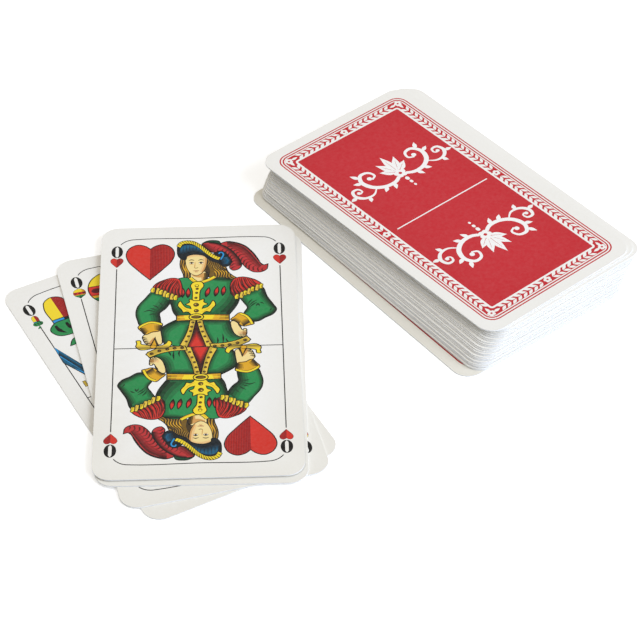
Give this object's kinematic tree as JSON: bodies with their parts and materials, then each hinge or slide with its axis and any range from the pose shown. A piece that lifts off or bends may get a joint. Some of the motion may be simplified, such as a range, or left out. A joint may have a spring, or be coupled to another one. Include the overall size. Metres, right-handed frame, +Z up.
{
  "type": "playing card deck",
  "caption": "Deck of German-suited playing cards laid out on a table: a leaning face-down pile whose cards draw out, and a face-up fan whose cards turn about the thumb point.",
  "frame": {"origin": "middle of the underside of the pile's bottom card, on the table", "axes": "+Z up from the table, +Y along the length of the pile's cards, +X away from the fan"},
  "size_m": [0.1688, 0.1126, 0.0095],
  "materials": {
    "pile_card": "satin varnished print",
    "fan_card": "satin varnished print"
  },
  "bodies": {
    "bells_seven": {"bells_seven": "pile_card"},
    "bells_eight": {"bells_eight": "pile_card"},
    "bells_nine": {"bells_nine": "pile_card"},
    "bells_unter": {"bells_unter": "pile_card"},
    "bells_king": {"bells_king": "pile_card"},
    "bells_ten": {"bells_ten": "pile_card"},
    "bells_ace": {"bells_ace": "pile_card"},
    "hearts_seven": {"hearts_seven": "pile_card"},
    "hearts_eight": {"hearts_eight": "pile_card"},
    "hearts_nine": {"hearts_nine": "pile_card"},
    "hearts_unter": {"hearts_unter": "pile_card"},
    "hearts_king": {"hearts_king": "pile_card"},
    "hearts_ten": {"hearts_ten": "pile_card"},
    "hearts_ace": {"hearts_ace": "pile_card"},
    "leaves_seven": {"leaves_seven": "pile_card"},
    "leaves_eight": {"leaves_eight": "pile_card"},
    "leaves_nine": {"leaves_nine": "pile_card"},
    "leaves_unter": {"leaves_unter": "pile_card"},
    "leaves_king": {"leaves_king": "pile_card"},
    "leaves_ten": {"leaves_ten": "pile_card"},
    "leaves_ace": {"leaves_ace": "pile_card"},
    "acorns_seven": {"acorns_seven": "pile_card"},
    "acorns_eight": {"acorns_eight": "pile_card"},
    "acorns_nine": {"acorns_nine": "pile_card"},
    "acorns_unter": {"acorns_unter": "pile_card"},
    "acorns_king": {"acorns_king": "pile_card"},
    "acorns_ten": {"acorns_ten": "pile_card"},
    "acorns_ace": {"acorns_ace": "pile_card"},
    "acorns_ober": {"acorns_ober": "fan_card"},
    "bells_ober": {"bells_ober": "fan_card"},
    "leaves_ober": {"leaves_ober": "fan_card"},
    "hearts_ober": {"hearts_ober": "fan_card"}
  },
  "joints": [
    {"name": "push_fan", "type": "slide", "parent": "bells_seven", "child": "acorns_ober", "axis": [-1, 0, 0], "range_m": [0, 0.1]},
    {"name": "turn_bells_ober", "type": "hinge", "parent": "acorns_ober", "child": "bells_ober", "pos_m": [-0.08769, -0.0187, 0], "axis": [0, 0, 1], "range_deg": [-13.5, 13.5]},
    {"name": "turn_leaves_ober", "type": "hinge", "parent": "acorns_ober", "child": "leaves_ober", "pos_m": [-0.08769, -0.0187, 0], "axis": [0, 0, 1], "range_deg": [-2, 26.9]},
    {"name": "turn_hearts_ober", "type": "hinge", "parent": "acorns_ober", "child": "hearts_ober", "pos_m": [-0.08769, -0.0187, 0], "axis": [0, 0, 1], "range_deg": [-2, 26.2]},
    {"name": "draw_acorns_ace", "type": "slide", "parent": "bells_seven", "child": "acorns_ace", "axis": [0, 1, 0], "range_m": [-0.105, 0.105]},
    {"name": "draw_acorns_ten", "type": "slide", "parent": "bells_seven", "child": "acorns_ten", "axis": [0, 1, 0], "range_m": [-0.105, 0.105]},
    {"name": "draw_acorns_king", "type": "slide", "parent": "bells_seven", "child": "acorns_king", "axis": [0, 1, 0], "range_m": [-0.105, 0.105]},
    {"name": "draw_acorns_unter", "type": "slide", "parent": "bells_seven", "child": "acorns_unter", "axis": [0, 1, 0], "range_m": [-0.105, 0.105]},
    {"name": "draw_acorns_nine", "type": "slide", "parent": "bells_seven", "child": "acorns_nine", "axis": [0, 1, 0], "range_m": [-0.105, 0.105]},
    {"name": "draw_acorns_eight", "type": "slide", "parent": "bells_seven", "child": "acorns_eight", "axis": [0, 1, 0], "range_m": [-0.105, 0.105]},
    {"name": "draw_acorns_seven", "type": "slide", "parent": "bells_seven", "child": "acorns_seven", "axis": [0, 1, 0], "range_m": [-0.105, 0.105]},
    {"name": "draw_leaves_ace", "type": "slide", "parent": "bells_seven", "child": "leaves_ace", "axis": [0, 1, 0], "range_m": [-0.105, 0.105]},
    {"name": "draw_leaves_ten", "type": "slide", "parent": "bells_seven", "child": "leaves_ten", "axis": [0, 1, 0], "range_m": [-0.105, 0.105]},
    {"name": "draw_leaves_king", "type": "slide", "parent": "bells_seven", "child": "leaves_king", "axis": [0, 1, 0], "range_m": [-0.105, 0.105]},
    {"name": "draw_leaves_unter", "type": "slide", "parent": "bells_seven", "child": "leaves_unter", "axis": [0, 1, 0], "range_m": [-0.105, 0.105]},
    {"name": "draw_leaves_nine", "type": "slide", "parent": "bells_seven", "child": "leaves_nine", "axis": [0, 1, 0], "range_m": [-0.105, 0.105]},
    {"name": "draw_leaves_eight", "type": "slide", "parent": "bells_seven", "child": "leaves_eight", "axis": [0, 1, 0], "range_m": [-0.105, 0.105]},
    {"name": "draw_leaves_seven", "type": "slide", "parent": "bells_seven", "child": "leaves_seven", "axis": [0, 1, 0], "range_m": [-0.105, 0.105]},
    {"name": "draw_hearts_ace", "type": "slide", "parent": "bells_seven", "child": "hearts_ace", "axis": [0, 1, 0], "range_m": [-0.105, 0.105]},
    {"name": "draw_hearts_ten", "type": "slide", "parent": "bells_seven", "child": "hearts_ten", "axis": [0, 1, 0], "range_m": [-0.105, 0.105]},
    {"name": "draw_hearts_king", "type": "slide", "parent": "bells_seven", "child": "hearts_king", "axis": [0, 1, 0], "range_m": [-0.105, 0.105]},
    {"name": "draw_hearts_unter", "type": "slide", "parent": "bells_seven", "child": "hearts_unter", "axis": [0, 1, 0], "range_m": [-0.105, 0.105]},
    {"name": "draw_hearts_nine", "type": "slide", "parent": "bells_seven", "child": "hearts_nine", "axis": [0, 1, 0], "range_m": [-0.105, 0.105]},
    {"name": "draw_hearts_eight", "type": "slide", "parent": "bells_seven", "child": "hearts_eight", "axis": [0, 1, 0], "range_m": [-0.105, 0.105]},
    {"name": "draw_hearts_seven", "type": "slide", "parent": "bells_seven", "child": "hearts_seven", "axis": [0, 1, 0], "range_m": [-0.105, 0.105]},
    {"name": "draw_bells_ace", "type": "slide", "parent": "bells_seven", "child": "bells_ace", "axis": [0, 1, 0], "range_m": [-0.105, 0.105]},
    {"name": "draw_bells_ten", "type": "slide", "parent": "bells_seven", "child": "bells_ten", "axis": [0, 1, 0], "range_m": [-0.105, 0.105]},
    {"name": "draw_bells_king", "type": "slide", "parent": "bells_seven", "child": "bells_king", "axis": [0, 1, 0], "range_m": [-0.105, 0.105]},
    {"name": "draw_bells_unter", "type": "slide", "parent": "bells_seven", "child": "bells_unter", "axis": [0, 1, 0], "range_m": [-0.105, 0.105]},
    {"name": "draw_bells_nine", "type": "slide", "parent": "bells_seven", "child": "bells_nine", "axis": [0, 1, 0], "range_m": [-0.105, 0.105]},
    {"name": "draw_bells_eight", "type": "slide", "parent": "bells_seven", "child": "bells_eight", "axis": [0, 1, 0], "range_m": [-0.105, 0.105]}
  ]
}
